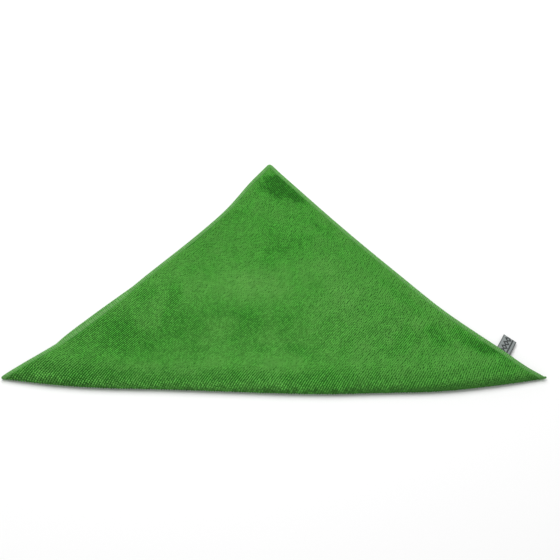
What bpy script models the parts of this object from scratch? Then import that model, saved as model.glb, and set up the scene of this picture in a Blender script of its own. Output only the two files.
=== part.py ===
"""A square microfibre cloth, folded once from corner to corner, with a woven label in its hem.

Metres, +Z up. The cloth lies on Z = 0 with its fold along X at the front and its loose corners at the back, +Y.
It is made as the real one is: a hemmed square is laid out flat, then folded round a soft roll on its diagonal.

Flat places are (u, v), measured along the cut sides from the under corner. Along the fold that is
(across, out): across runs from the left corner to the right one, and out is the distance from the fold line,
positive on the upper layer and negative on the under layer.
"""

import math
from collections import namedtuple

import bmesh
import bpy

# The cut cloth
SIDE = 0.400
HALF_DIAGONAL = SIDE / math.sqrt(2)
PILE_THICK = 0.0030
HEM_THICK = 0.0022
HEM_WIDTH = 0.0048
HEM_STEP = 0.0020  # over this width the pile rises from the flat hem
BODY_CELLS = 20  # across the pile, between the hems
RimRow = namedtuple("RimRow", "inward full")  # the share of the hem's thickness that is reached this far in
HEM_ROUNDING = (RimRow(0.0, 0.0), RimRow(0.0006, 0.70), RimRow(0.0018, 1.0))

CORNER_ROUNDING = {"left": 0.0060, "right": 0.0015, "upper": 0.0050, "under": 0.0070}

# The fold's section where it is fullest: how many degrees the cloth has turned, at a distance along it from where it
# leaves the table. It is foremost at 90 degrees and highest at 180.
TurnRow = namedtuple("TurnRow", "along turned")
FOLD_TURN = (
    TurnRow(0.0000, 0),
    TurnRow(0.0039, 90),
    TurnRow(0.0065, 126),
    TurnRow(0.0100, 156),
    TurnRow(0.0150, 180),
)
FOLD_FRONT = FOLD_TURN[1].along
FOLD_END = FOLD_TURN[-1].along
TIP_SHARE = 0.66  # the fold's size at its two ends, where it is pressed flatter
TIP_TAPER = 0.060
WALK_STEP = 0.00005
CUTS_PER_ROW = 3
LAYER_GAP = 0.0006
FOLD_TAIL = 0.032  # the upper layer comes down to the under one over this distance
TAIL_CUTS = (0.005, 0.011, 0.018, 0.025)
CUT_TOLERANCE = 1e-6

# How the folded cloth lies: its ends sweep back a little, and it is pulled slightly long towards its apex
SWEEP_RADIUS = 2.744
PULL = 1.031
APEX_LEAN = -0.0042

# The fold line, from the left corner to the right one: how far it bulges forward of the even sweep
FoldRow = namedtuple("FoldRow", "across forward")
FOLD_LINE = (
    FoldRow(-0.283, -0.0015),
    FoldRow(-0.193, -0.0003),
    FoldRow(-0.110, -0.0023),
    FoldRow(-0.045, -0.0018),
    FoldRow(0.054, 0.0012),
    FoldRow(0.105, 0.0016),
    FoldRow(0.177, 0.0030),
    FoldRow(0.227, 0.0011),
    FoldRow(0.283, -0.0015),
)

# Each pair of sides, from the fold's corner (share 0) to the apex (share 1): how far the hem is drawn in on the
# upper and on the under layer, and how far the upper hem curls up
SideRow = namedtuple("SideRow", "share upper_in under_in lift")
LEFT_SIDES = (
    SideRow(0.00, 0.0000, 0.0000, 0.0000),
    SideRow(0.15, 0.0036, 0.0032, 0.0007),
    SideRow(0.21, 0.0056, 0.0012, 0.0009),
    SideRow(0.30, 0.0062, 0.0009, 0.0010),
    SideRow(0.38, 0.0056, 0.0018, 0.0007),
    SideRow(0.47, 0.0043, 0.0036, 0.0004),
    SideRow(0.65, 0.0062, 0.0080, 0.0012),
    SideRow(0.79, 0.0058, 0.0078, 0.0006),
    SideRow(0.91, 0.0010, 0.0045, 0.0014),
    SideRow(1.00, 0.0000, 0.0025, 0.0008),
)
RIGHT_SIDES = (
    SideRow(0.00, -0.0022, -0.0022, 0.0000),
    SideRow(0.06, 0.0008, 0.0006, 0.0004),
    SideRow(0.15, 0.0000, 0.0010, 0.0006),
    SideRow(0.31, 0.0032, 0.0048, 0.0014),
    SideRow(0.48, 0.0013, 0.0038, 0.0005),
    SideRow(0.67, 0.0007, 0.0032, 0.0012),
    SideRow(0.87, -0.0004, 0.0028, 0.0010),
    SideRow(1.00, -0.0004, 0.0025, 0.0008),
)
HEM_CURL = 0.024  # the curl dies out this far in from the cut
SIDE_FADE = 0.5 * SIDE  # and the drawing in this far

# Soft swells of the upper layer, by their centre, the reach of each and their height
Swell = namedtuple("Swell", "across out reach height")
SWELLS = (
    Swell(-0.170, 0.055, 0.055, 0.0009),
    Swell(-0.085, 0.120, 0.070, 0.0014),
    Swell(-0.030, 0.045, 0.060, 0.0010),
    Swell(0.010, 0.205, 0.055, 0.0012),
    Swell(0.060, 0.115, 0.065, 0.0016),
    Swell(0.115, 0.050, 0.055, 0.0009),
    Swell(0.185, 0.050, 0.050, 0.0011),
)
SWELL_START = 0.030  # swells and curls fade in over this distance behind the fold

# The woven label: a ribbon folded at its outer end, its two ends sewn into the right-hand hem between the layers
LABEL_PLACE = 0.0534  # from the right-hand corner to the label's middle, along the side
LABEL_WIDTH = 0.0158
LABEL_OUT = 0.0177
LABEL_IN = 0.0048
LABEL_LEAN = 0.0023  # the outer end stands this far nearer the apex
LABEL_DROOP = 0.0012
LABEL_STEPS = 6
LABEL_SHARP_ANGLE = math.radians(40)
RIBBON_THICK = 0.00035
RIBBON_GAP = 0.00025
SEAM_CLEARANCE = 0.0003


def smooth(share):
    share = min(max(share, 0.0), 1.0)
    return share * share * (3 - 2 * share)


def read_row(rows, column, at):
    """A column of a table, read between its rows on one smooth curve."""
    keys = [row[0] for row in rows]
    values = [getattr(row, column) for row in rows]
    at = min(max(at, keys[0]), keys[-1])
    n = max(i for i in range(len(rows) - 1) if keys[i] <= at)

    def slope(i):
        low, high = max(i - 1, 0), min(i + 1, len(rows) - 1)
        return (values[high] - values[low]) / (keys[high] - keys[low])

    span = keys[n + 1] - keys[n]
    t = (at - keys[n]) / span
    return (
        (2 * t**3 - 3 * t**2 + 1) * values[n]
        + (t**3 - 2 * t**2 + t) * span * slope(n)
        + (3 * t**2 - 2 * t**3) * values[n + 1]
        + (t**3 - t**2) * span * slope(n + 1)
    )


# --- the flat cloth ---------------------------------------------------------------------------------------------


def round_corners(u, v):
    """Moves a flat place so that the square's four corners are rounded."""
    corners = (
        (0.0, SIDE, CORNER_ROUNDING["left"]),
        (SIDE, 0.0, CORNER_ROUNDING["right"]),
        (SIDE, SIDE, CORNER_ROUNDING["upper"]),
        (0.0, 0.0, CORNER_ROUNDING["under"]),
    )
    for corner_u, corner_v, radius in corners:
        centre_u = radius if corner_u == 0 else SIDE - radius
        centre_v = radius if corner_v == 0 else SIDE - radius
        away_u = (centre_u - u) * (1 if corner_u == 0 else -1)
        away_v = (centre_v - v) * (1 if corner_v == 0 else -1)
        if away_u > 0 and away_v > 0:
            shrink = max(away_u, away_v) / math.hypot(away_u, away_v)
            return centre_u + (u - centre_u) * shrink, centre_v + (v - centre_v) * shrink
    return u, v


def draw_in(u, v):
    """Moves a flat place inwards with the hems, which pull the four sides in between the corners."""
    pulls = (
        (SIDE - v, read_row(LEFT_SIDES, "upper_in", u / SIDE), (0, -1)),
        (SIDE - u, read_row(RIGHT_SIDES, "upper_in", v / SIDE), (-1, 0)),
        (u, read_row(LEFT_SIDES, "under_in", 1 - v / SIDE), (1, 0)),
        (v, read_row(RIGHT_SIDES, "under_in", 1 - u / SIDE), (0, 1)),
    )
    for from_cut, inward, way in pulls:
        share = smooth(1 - from_cut / SIDE_FADE) * inward
        u += share * way[0]
        v += share * way[1]
    return u, v


def to_fold(u, v):
    """(across, out) of a flat place."""
    return (u - v) / math.sqrt(2), (u + v - SIDE) / math.sqrt(2)


def depths(from_cut, out):
    """How deep the cloth's outer and inner side lie, this far in from the cut. The hem is thin: on the under layer it
    rests on the table, and on the upper layer it rests on the one below."""
    plump = HEM_THICK + (PILE_THICK - HEM_THICK) * smooth((from_cut - HEM_WIDTH) / HEM_STEP)
    upper = smooth(0.5 + out / (2 * FOLD_FRONT))
    outer = (PILE_THICK - plump) * upper
    rim = HEM_THICK / 2 * (1 - read_row(HEM_ROUNDING, "full", from_cut))
    return outer + rim, outer + plump - rim


def flat_cloth():
    """The hemmed square laid out flat, as a closed body: x is across, y is out and z is the depth, which fold()
    turns over, so the faces are wound to point outwards once it is folded."""
    edge = [row.inward for row in HEM_ROUNDING] + [HEM_WIDTH, HEM_WIDTH + HEM_STEP]
    body = SIDE - 2 * edge[-1]
    inner = [edge[-1] + body * n / BODY_CELLS for n in range(1, BODY_CELLS)]
    rows = edge + inner + [SIDE - at for at in reversed(edge)]
    shape = bmesh.new()
    outer_side, inner_side = {}, {}
    for i, u in enumerate(rows):
        for j, v in enumerate(rows):
            across, out = to_fold(*draw_in(*round_corners(u, v)))
            from_cut = min(u, v, SIDE - u, SIDE - v)
            outer, inner = depths(from_cut, out)
            outer_side[i, j] = shape.verts.new((across, out, outer))
            inner_side[i, j] = outer_side[i, j] if from_cut == 0 else shape.verts.new((across, out, inner))
    for i in range(len(rows) - 1):
        for j in range(len(rows) - 1):
            around = ((i, j), (i + 1, j), (i + 1, j + 1), (i, j + 1))
            shape.faces.new([outer_side[at] for at in around])
            shape.faces.new([inner_side[at] for at in reversed(around)])
    return shape


# --- how it lies ------------------------------------------------------------------------------------------------


def upper_lift(across, out):
    """How far the upper layer stands above its resting height, from the swells and the curl of its hems."""
    height = 0.0
    for swell in SWELLS:
        away = math.hypot(across - swell.across, out - swell.out) / swell.reach
        height += swell.height * smooth(1 - away)
    u = (out + across) / math.sqrt(2) + SIDE / 2
    v = (out - across) / math.sqrt(2) + SIDE / 2
    for rows, from_cut, along in ((LEFT_SIDES, SIDE - v, u), (RIGHT_SIDES, SIDE - u, v)):
        from_cut -= read_row(rows, "upper_in", along / SIDE)
        height += read_row(rows, "lift", along / SIDE) * smooth(1 - from_cut / HEM_CURL)
    return height


def walk_fold():
    """The middle line of the fold's section, as (behind, up, turned) at every WALK_STEP along it."""
    behind = up = 0.0
    places = [(behind, up, 0.0)]
    for n in range(round(FOLD_END / WALK_STEP)):
        turned = math.radians(read_row(FOLD_TURN, "turned", (n + 0.5) * WALK_STEP))
        behind -= WALK_STEP * math.cos(turned)
        up += WALK_STEP * math.sin(turned)
        places.append((behind, up, math.radians(read_row(FOLD_TURN, "turned", (n + 1) * WALK_STEP))))
    return places


FOLD_PLACES = walk_fold()


def lay_down(across, behind, out):
    """The place on the table of a point this far behind the line where the under layer leaves it."""
    reach = min(max(out, 0.0) / HALF_DIAGONAL, 1.0)
    across += APEX_LEAN * reach**2
    width = max(HALF_DIAGONAL - abs(across), PILE_THICK)
    forward = read_row(FOLD_LINE, "forward", across) * (1 - min(abs(out) / width, 1.0))
    angle = across / SWEEP_RADIUS
    radius = SWEEP_RADIUS - (behind * PULL - forward)
    return radius * math.sin(angle), SWEEP_RADIUS - radius * math.cos(angle)


def fold(across, out, depth):
    """Where a point of the flat cloth lies once it is folded. depth is how far it is in from the outer side."""
    size = TIP_SHARE + (1 - TIP_SHARE) * smooth((HALF_DIAGONAL - abs(across)) / TIP_TAPER)
    along = out + FOLD_FRONT * size
    past = along - FOLD_END * size
    proud = PILE_THICK / 2 - depth
    if along <= 0:
        behind, up = -along, depth
    elif past <= 0:
        behind, up, turned = FOLD_PLACES[round(along / size / WALK_STEP)]
        behind = behind * size - proud * math.sin(turned)
        up = PILE_THICK / 2 + up * size - proud * math.cos(turned)
    else:
        top_behind, top, _ = FOLD_PLACES[-1]
        behind = top_behind * size + past
        height = top * size
        height += (PILE_THICK + LAYER_GAP - height) * smooth(past / FOLD_TAIL)
        up = PILE_THICK / 2 + height + proud
        up += upper_lift(across, out) * smooth(past / SWELL_START)
    x, y = lay_down(across, behind, out)
    return x, y, up


def make_object(name, shape, colour, roughness):
    mesh = bpy.data.meshes.new(name)
    shape.to_mesh(mesh)
    shape.free()
    made = bpy.data.objects.new(name, mesh)
    bpy.context.scene.collection.objects.link(made)
    material = bpy.data.materials.new(name)
    material.use_nodes = True
    surface = material.node_tree.nodes["Principled BSDF"]
    surface.inputs["Base Color"].default_value = (*colour, 1.0)
    surface.inputs["Roughness"].default_value = roughness
    surface.inputs["Metallic"].default_value = 0.0
    mesh.materials.append(material)
    return made


def cuts():
    """The lines, as distances out, that the cloth bends on."""
    along = [
        row.along + (after.along - row.along) * n / CUTS_PER_ROW
        for row, after in zip(FOLD_TURN, FOLD_TURN[1:])
        for n in range(CUTS_PER_ROW)
    ]
    return [at - FOLD_FRONT for at in along] + [FOLD_END - FOLD_FRONT + tail for tail in (0.0, *TAIL_CUTS)]


def cloth():
    """The whole cloth: cut by the lines on which it bends, and folded."""
    shape = flat_cloth()
    for out in cuts():
        bmesh.ops.bisect_plane(
            shape,
            geom=shape.verts[:] + shape.edges[:] + shape.faces[:],
            dist=CUT_TOLERANCE,
            plane_co=(0, out, 0),
            plane_no=(0, 1, 0),
        )
    bmesh.ops.triangulate(shape, faces=shape.faces[:])
    for point in shape.verts:
        point.co = fold(*point.co)
    made = make_object("cloth", shape, (0.062, 0.278, 0.036), 0.95)
    made.data.shade_smooth()
    return made


def ribbon_section():
    """The label's section, from its inner end round the outer fold and back, as (distance out, height) pairs. Height 0
    is its upper face at the seam."""
    thick = 2 * RIBBON_THICK + RIBBON_GAP
    outer, inner = thick / 2, RIBBON_GAP / 2
    bend = LABEL_OUT - outer
    straight = [-LABEL_IN + (bend + LABEL_IN) * n / LABEL_STEPS for n in range(LABEL_STEPS + 1)]
    turn = [math.pi * n / LABEL_STEPS for n in range(1, LABEL_STEPS)]

    def side(radius):
        over = [(at, radius) for at in straight]
        end = [(bend + radius * math.sin(a), radius * math.cos(a)) for a in turn]
        return over + end + [(at, -radius) for at in reversed(straight)]

    loop = side(outer) + side(inner)[::-1]
    return [
        (at, height - outer - LABEL_DROOP * smooth(at / LABEL_OUT))
        for at, height in loop
    ]


def label():
    """The folded ribbon, seated under the upper layer's hem."""
    section = ribbon_section()
    seat_u, seat_v = draw_in(SIDE, LABEL_PLACE)
    shape = bmesh.new()
    ends = []
    for share in (-0.5, 0.5):
        edge_v = seat_v + share * LABEL_WIDTH
        hem_above = fold(*to_fold(seat_u, edge_v), PILE_THICK)[2]
        ring = []
        for at, height in section:
            lean = LABEL_LEAN * at / LABEL_OUT
            x, y, _ = fold(*to_fold(seat_u + at, edge_v + lean), PILE_THICK)
            ring.append(shape.verts.new((x, y, hem_above - SEAM_CLEARANCE + height)))
        ends.append(ring)
    left, right = ends
    count = len(section)
    for n in range(count):
        m = (n + 1) % count
        shape.faces.new((left[n], right[n], right[m], left[m]))
    half = count // 2
    for ring in ends:
        for n in range(half - 1):
            shape.faces.new((ring[n], ring[n + 1], ring[count - 2 - n], ring[count - 1 - n]))
    bmesh.ops.triangulate(shape, faces=shape.faces[:])
    bmesh.ops.recalc_face_normals(shape, faces=shape.faces[:])
    made = make_object("label", shape, (0.33, 0.35, 0.36), 0.6)
    made.data.shade_smooth()
    made.data.set_sharp_from_angle(angle=LABEL_SHARP_ANGLE)
    return made


def centre_on_floor(pieces):
    """Puts the origin on the floor, under the middle of the whole part."""
    places = [point.co for piece in pieces for point in piece.data.vertices]
    middle_x = (min(p.x for p in places) + max(p.x for p in places)) / 2
    middle_y = (min(p.y for p in places) + max(p.y for p in places)) / 2
    for piece in pieces:
        for point in piece.data.vertices:
            point.co.x -= middle_x
            point.co.y -= middle_y


def main():
    for old in list(bpy.data.objects):
        bpy.data.objects.remove(old)
    centre_on_floor([cloth(), label()])


main()
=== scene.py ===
"""The looks of a square microfibre cloth, folded once from corner to corner, with a woven label in its hem.

Metres, +Z up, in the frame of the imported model. Every piece is laid out on the flat cloth and then folded
with it, as the real one is: the knitted ground, the looped pile that stands on it, the overlocked hem and
the label.

Flat places are (u, v), measured along the cut sides from the under corner. Along the fold that is (across,
out): across runs from the left corner to the right one, and out is the distance from the fold line,
positive on the upper layer and negative on the under layer. A third number, below, is the depth under the
cloth's outer side.
"""

import math
from collections import namedtuple

import bpy
import numpy as np
from bpy.props import FloatProperty, FloatVectorProperty, IntProperty, PointerProperty
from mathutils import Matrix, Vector


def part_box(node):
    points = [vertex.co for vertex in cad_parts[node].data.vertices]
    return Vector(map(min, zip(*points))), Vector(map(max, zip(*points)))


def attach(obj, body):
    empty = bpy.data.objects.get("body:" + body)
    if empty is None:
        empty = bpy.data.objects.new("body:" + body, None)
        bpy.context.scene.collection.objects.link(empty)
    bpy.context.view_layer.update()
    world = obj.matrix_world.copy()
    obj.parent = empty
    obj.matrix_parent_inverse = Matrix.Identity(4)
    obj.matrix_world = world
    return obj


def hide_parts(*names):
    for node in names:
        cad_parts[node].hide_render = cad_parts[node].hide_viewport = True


bl_info = {
    "name": "Folded microfibre cloth",
    "version": (1, 0, 0),
    "blender": (4, 5, 0),
    "location": "View3D > Sidebar > Cloth",
    "description": "Finishes the packed cloth: knitted ground, looped pile, overlocked hem, label and stage",
    "category": "Object",
}

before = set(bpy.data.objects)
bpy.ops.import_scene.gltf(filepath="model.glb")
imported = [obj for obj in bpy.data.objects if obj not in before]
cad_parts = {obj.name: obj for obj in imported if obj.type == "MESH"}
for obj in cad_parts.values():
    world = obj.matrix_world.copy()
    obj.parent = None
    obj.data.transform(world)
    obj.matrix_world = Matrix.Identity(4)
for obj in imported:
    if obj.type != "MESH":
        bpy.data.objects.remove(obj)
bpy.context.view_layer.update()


def table(fields, *rows):
    """Rows of numbers with named fields."""
    row = namedtuple("row", fields)
    return tuple(row(*numbers) for numbers in rows)


# The cut cloth and its layers
SIDE = 0.400
HALF_DIAGONAL = SIDE / math.sqrt(2)
PILE_THICK = 0.0030
HEM_THICK = 0.0022
HEM_WIDTH = 0.0048
HEM_STEP = 0.0020  # over this width the pile rises from the flat hem
NEVER_ZERO = 1e-9  # keeps a division at a corner's centre from failing
CORNER_ROUNDING = {"left": 0.0060, "right": 0.0015, "upper": 0.0050, "under": 0.0070}

# The fold's section where it is fullest: how many degrees the cloth has turned, at a distance along it from
# where it leaves the table
FOLD_TURN = table(
    "along turned",
    (0.0000, 0),
    (0.0039, 90),
    (0.0065, 126),
    (0.0100, 156),
    (0.0150, 180),
)
FOLD_FRONT = FOLD_TURN[1].along
FOLD_END = FOLD_TURN[-1].along
TIP_SHARE = 0.66  # the fold's size at its two ends, where it is pressed flatter
TIP_TAPER = 0.060
WALK_STEP = 0.00005
LAYER_GAP = 0.0006
FOLD_TAIL = 0.032  # the upper layer comes down to the under one over this distance

# How the folded cloth lies: its ends sweep back a little, and it is pulled slightly long towards its apex
SWEEP_RADIUS = 2.744
PULL = 1.031
APEX_LEAN = -0.0042
SHIFT_LINES = 201  # the folded cloth's box is measured on a grid of so many lines each way

# The fold line, from the left corner to the right one: how far it bulges forward of the even sweep
FOLD_LINE = table(
    "across forward",
    (-0.283, -0.0015),
    (-0.193, -0.0003),
    (-0.110, -0.0023),
    (-0.045, -0.0018),
    (0.054, 0.0012),
    (0.105, 0.0016),
    (0.177, 0.0030),
    (0.227, 0.0011),
    (0.283, -0.0015),
)

# Each pair of sides, from the fold's corner (share 0) to the apex (share 1): how far the hem is drawn in on
# the upper and on the under layer, and how far the upper hem curls up
LEFT_SIDES = table(
    "share upper_in under_in lift",
    (0.00, 0.0000, 0.0000, 0.0000),
    (0.15, 0.0036, 0.0032, 0.0007),
    (0.21, 0.0056, 0.0012, 0.0009),
    (0.30, 0.0062, 0.0009, 0.0010),
    (0.38, 0.0056, 0.0018, 0.0007),
    (0.47, 0.0043, 0.0036, 0.0004),
    (0.65, 0.0062, 0.0080, 0.0012),
    (0.79, 0.0058, 0.0078, 0.0006),
    (0.91, 0.0010, 0.0045, 0.0014),
    (1.00, 0.0000, 0.0025, 0.0008),
)
RIGHT_SIDES = table(
    "share upper_in under_in lift",
    (0.00, -0.0022, -0.0022, 0.0000),
    (0.06, 0.0008, 0.0006, 0.0004),
    (0.15, 0.0000, 0.0010, 0.0006),
    (0.31, 0.0032, 0.0048, 0.0014),
    (0.48, 0.0013, 0.0038, 0.0005),
    (0.67, 0.0007, 0.0032, 0.0012),
    (0.87, -0.0004, 0.0028, 0.0010),
    (1.00, -0.0004, 0.0025, 0.0008),
)
HEM_CURL = 0.024  # the curl dies out this far in from the cut
SIDE_FADE = 0.5 * SIDE  # and the drawing in this far

# Soft swells of the upper layer, by their centre, the reach of each and their height
SWELLS = table(
    "across out reach height",
    (-0.170, 0.055, 0.055, 0.0009),
    (-0.085, 0.120, 0.070, 0.0014),
    (-0.030, 0.045, 0.060, 0.0010),
    (0.010, 0.205, 0.055, 0.0012),
    (0.060, 0.115, 0.065, 0.0016),
    (0.115, 0.050, 0.055, 0.0009),
    (0.185, 0.050, 0.050, 0.0011),
)
SWELL_START = 0.030  # swells and curls fade in over this distance behind the fold

# Soft troughs of the upper layer, by their centre, the two reaches of each, how many degrees its long side
# is turned from the fold, and its depth
TROUGHS = table(
    "across out long wide turned depth",
    (0.034, 0.218, 0.048, 0.011, -45, 0.0009),
    (0.074, 0.180, 0.040, 0.009, -45, 0.0005),
    (-0.036, 0.222, 0.040, 0.009, 47, 0.0006),
    (0.220, 0.046, 0.040, 0.010, -42, 0.0008),
    (0.150, 0.108, 0.044, 0.009, -43, 0.0004),
    (-0.180, 0.070, 0.042, 0.010, 42, 0.0005),
    (0.010, 0.168, 0.034, 0.014, 12, 0.0006),
    (-0.108, 0.072, 0.036, 0.014, 20, 0.0006),
    (0.150, 0.062, 0.036, 0.013, -25, 0.0006),
)

# The knitted ground, under the pile and inside the hem
GROUND_CELLS = 134
GROUND_DEPTH = 0.0011  # the pile stands this far above it on the outer side
GROUND_BACK = 0.00025  # and this far on the inner side
HEM_SKIN = 0.00040  # the overlock threads' thickness round the cut edge
RIM_ROWS = (0.0, 0.0003, 0.0009, 0.0020)  # in from the covered edge, where the ground is rounded
GROUND_STEP = 0.0008  # over this width the ground goes down from the hem to the roots of the pile
BAKE_HALF = (0.49, 1.0)  # the share of the baking map that each side of the ground has
BAKE_BACK = (0.51, 0.0)  # and where its back begins

# The ribs of the pile run nearly with the left side, and turn away from it towards the right-hand corner
RIBS_FROM = -0.040
RIB_SLOPE = 0.030
TURN_FROM = 0.290
TURN_GROWTH = 4.6
PILE_MARGIN = 0.0004  # between the hem and the first locks
UNDER_FROM = -0.006  # the pile is pressed against the table from this far under the fold line
LOCK_SIDES = 5
STRETCH_FULL = 0.009  # the pile is stretched round the fold, fully up to here and no more at the next
STRETCH_END = 0.024
STRETCH_STEPS = 4001

# From the fold to the apex: how much more than elsewhere the pile covers the ribs
COVERS_UP_THE_CLOTH = table(
    "out covers",
    (0.000, 0.00),
    (0.012, 0.02),
    (0.030, 0.26),
    (0.050, 0.06),
    (0.070, -0.02),
    (0.100, 0.18),
    (0.135, 0.42),
    (0.180, 0.60),
    (0.283, 0.52),
)

# Along the fold: how much the pile on its outside is stretched, how far above it the ribs stand open and
# how fully, and how much more than elsewhere the pile covers them
RIBS_ALONG_FOLD = table(
    "across stretch opens fully covers",
    (-0.283, 1.85, 0.011, 0.80, 0.06),
    (-0.200, 1.80, 0.013, 0.90, -0.02),
    (-0.140, 1.65, 0.012, 0.90, -0.10),
    (-0.080, 1.50, 0.012, 0.90, -0.10),
    (0.030, 1.42, 0.012, 0.90, -0.04),
    (0.110, 1.45, 0.013, 0.50, 0.14),
    (0.190, 1.45, 0.012, 0.20, 0.29),
    (0.283, 1.40, 0.010, 0.10, 0.33),
)
FRONT_SHADE = 0.0095  # painted shade: the pile is darker up to here, where it faces away from the light
UPPER_SHADE_FROM = 0.12  # and a little more painted shade from here towards the apex
UPPER_SHADE_REACH = 0.08
RIGHT_DARKENING_REACH = 0.12  # and the pile is darker over this distance from the middle towards the right-hand corner

# The pile lies differently where it was stroked. Each patch has a centre, two reaches, how many degrees its
# long side is turned from the fold, and a shade, from -1 where the ribs stand open and dark to 1 where the
# pile lies over them and is light. Besides moving the locks, the shade paints the pile darker and lighter, as
# painted shade and light
PATCHES = table(
    "across out long wide turned shade",
    (0.016, 0.200, 0.110, 0.080, 0, -0.34),
    (0.190, 0.050, 0.100, 0.060, 0, 0.08),
    (0.007, 0.250, 0.030, 0.018, 0, -1.00),
    (0.027, 0.237, 0.026, 0.010, -45, -0.80),
    (0.060, 0.198, 0.032, 0.008, -45, -0.24),
    (-0.033, 0.226, 0.034, 0.008, 48, -0.20),
    (0.222, 0.046, 0.038, 0.010, -40, -0.95),
    (0.150, 0.108, 0.040, 0.008, -42, -0.35),
    (-0.170, 0.071, 0.026, 0.026, 0, -0.38),
    (-0.199, 0.045, 0.020, 0.018, 0, -0.22),
    (-0.145, 0.045, 0.026, 0.020, 0, -0.35),
    (-0.100, 0.070, 0.028, 0.028, 0, -0.42),
    (-0.116, 0.102, 0.012, 0.026, 0, -0.50),
    (-0.140, 0.110, 0.014, 0.014, 0, -0.35),
    (0.011, 0.167, 0.022, 0.018, 0, -0.14),
    (-0.001, 0.202, 0.016, 0.016, 0, -0.22),
    (-0.026, 0.083, 0.014, 0.014, 0, -0.40),
    (0.033, 0.048, 0.018, 0.012, 0, -0.40),
    (0.147, 0.059, 0.013, 0.019, 0, -0.50),
    (0.179, 0.062, 0.014, 0.017, 0, -0.42),
    (0.255, 0.019, 0.030, 0.010, 0, -0.20),
    (-0.047, 0.128, 0.030, 0.028, 0, 0.44),
    (-0.004, 0.124, 0.032, 0.028, 0, 0.50),
    (0.051, 0.148, 0.032, 0.022, 0, 0.26),
    (0.110, 0.159, 0.026, 0.022, 0, -0.10),
    (-0.061, 0.068, 0.024, 0.022, 0, 0.36),
    (0.009, 0.030, 0.036, 0.015, 0, 0.16),
    (-0.150, 0.026, 0.052, 0.010, 0, 0.24),
    (-0.068, 0.028, 0.046, 0.011, 0, 0.24),
    (0.109, 0.041, 0.032, 0.016, 0, 0.24),
    (-0.073, 0.178, 0.022, 0.020, 0, 0.10),
    (0.071, 0.105, 0.030, 0.024, 0, 0.16),
)
PATCH_BLUR = 0.006  # patches are drawn out of shape by this much
PATCH_CELL = 3 * PATCH_BLUR
PATCH_EDGE = 1.25  # a patch's shade begins this many reaches from its centre
NAP_NOISE = table("cell share", (0.034, 0.20), (0.012, 0.17), (0.005, 0.16))

# The woven label: a ribbon folded at its outer end, its two ends sewn into the right-hand hem between the
# layers
LABEL_PLACE = 0.0534  # from the right-hand corner to the label's middle, along the side
LABEL_WIDTH = 0.0158
LABEL_OUT = 0.0177
LABEL_IN = 0.0048
LABEL_LEAN = 0.0023  # the outer end stands this far nearer the apex
LABEL_DROOP = 0.0012
RIBBON_THICK = 0.00035
RIBBON_GAP = 0.00025
SEAM_CLEARANCE = 0.0003
LABEL_STEPS = 16  # along each of its two straight runs
BEND_STEPS = 9
LABEL_COLUMNS = 9

BLENDER_WAVE = math.pi / 10  # one unit of Blender's Wave Texture at scale 1

# Added to the user's seed, so that each piece varies in its own way
UPPER_SEED, UNDER_SEED, STITCH_SEED, NEEDLE_SEED = 20, 30, 40, 50


def linear(code):
    """The linear red, green and blue of an sRGB hex colour."""
    parts = [int(code[n : n + 2], 16) / 255 for n in (1, 3, 5)]
    return tuple(p / 12.92 if p <= 0.04045 else ((p + 0.055) / 1.055) ** 2.4 for p in parts)


# --- what a user would change ---------------------------------------------------------------------


def colour_setting(name, description, code):
    return FloatVectorProperty(
        name=name, description=description, subtype="COLOR", size=3, min=0.0, max=1.0, default=linear(code)
    )


def length_setting(name, description, default, low, high):
    return FloatProperty(
        name=name, description=description, unit="LENGTH", precision=5, default=default, min=low, max=high
    )


def power_setting(name, description, default):
    return FloatProperty(name=name, description=description, unit="POWER", default=default, min=0.0)


class ClothSettings(bpy.types.PropertyGroup):
    """Sizes and colours of the cloth itself."""

    # lit and shaded pile: one green pile, painted lighter where its nap lies over the ribs and darker where
    # they stand open, as light and shade
    lit_pile: colour_setting("Light pile", "Pile that lies over the ribs", "#6AAF51")
    shaded_pile: colour_setting("Dark pile", "Pile that stands away from the light", "#47AB34")
    # painted shade: the roots and the ground between the ribs take this dark colour for the shade of the
    # locks
    root: colour_setting("Roots", "The pile's roots and the ground between the ribs", "#093F08")
    hem_thread: colour_setting("Hem thread", "The overlock thread round the edge", "#68A656")
    rib: length_setting("Rib spacing", "From one rib of the pile to the next", 0.00195, 0.001, 0.006)
    lock: length_setting("Lock spacing", "From one lock to the next along a rib", 0.00140, 0.0008, 0.006)
    under_lock: length_setting("Under lock spacing", "The same on the layer below", 0.0024, 0.0008, 0.006)
    stitch: length_setting("Stitch spacing", "From one overlock stitch to the next", 0.0020, 0.001, 0.006)
    seed: IntProperty(name="Seed", description="Changes how the locks and threads vary", default=11, min=0)


class LabelSettings(bpy.types.PropertyGroup):
    """Colours and threads of the label."""

    ribbon: colour_setting("Ribbon", "The ribbon's own grey", "#808786")
    border: colour_setting("Border", "The darker threads along its sides", "#565B5B")
    braid: colour_setting("Braid", "The lozenges woven into it", "#232A29")
    thread: length_setting("Thread spacing", "From one weft thread to the next", 0.00040, 0.0001, 0.002)


class StageSettings(bpy.types.PropertyGroup):
    """The floor, the light and the camera."""

    floor: colour_setting("Floor", "The pale floor", "#F7F7F7")
    key: power_setting("Key light", "The large light above", 32.0)
    fill: power_setting("Fill light", "The weak light in front", 1.0)
    sky: FloatProperty(name="Sky", description="Even light from all round", default=0.42, min=0.0, max=5.0)
    elevation: FloatProperty(
        name="Elevation", description="The camera above the floor", subtype="ANGLE", default=math.radians(60)
    )
    distance: length_setting("Distance", "From the camera to what it aims at", 1.097, 0.2, 10.0)
    lens: FloatProperty(name="Lens", description="Focal length in millimetres", default=64.29, min=10.0)


# --- how the cloth is folded ----------------------------------------------------------------------


def smooth(share):
    share = np.clip(share, 0.0, 1.0)
    return share * share * (3 - 2 * share)


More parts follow.
